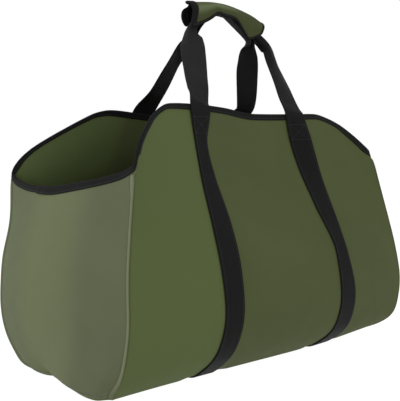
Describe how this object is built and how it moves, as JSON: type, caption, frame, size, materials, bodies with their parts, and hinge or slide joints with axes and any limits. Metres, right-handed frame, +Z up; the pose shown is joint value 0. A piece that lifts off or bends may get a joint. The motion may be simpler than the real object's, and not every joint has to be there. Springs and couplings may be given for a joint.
{
  "type": "log carrier",
  "caption": "Soft open canvas carrier for firewood with closed ends, a bound rim, webbing straps that run on as handles, and a cloth wrap that gathers them into one grip.",
  "frame": {"origin": "centre of the part's box on the floor that it stands on", "axes": "+X along the bag towards its right end, +Y from the front to the back, +Z up"},
  "size_m": [0.6699, 0.4181, 0.5849],
  "materials": {
    "canvas": "olive coated canvas, matte",
    "tape": "black binding tape, matte",
    "webbing": "black polypropylene webbing, low sheen"
  },
  "bodies": {
    "root": {"main_panel": "canvas", "end_panel_left": "canvas", "end_panel_right": "canvas", "rim_binding": "tape", "strap_front": "webbing", "strap_back": "webbing", "grip_wrap": "canvas", "grip_binding": "tape"}
  },
  "joints": []
}
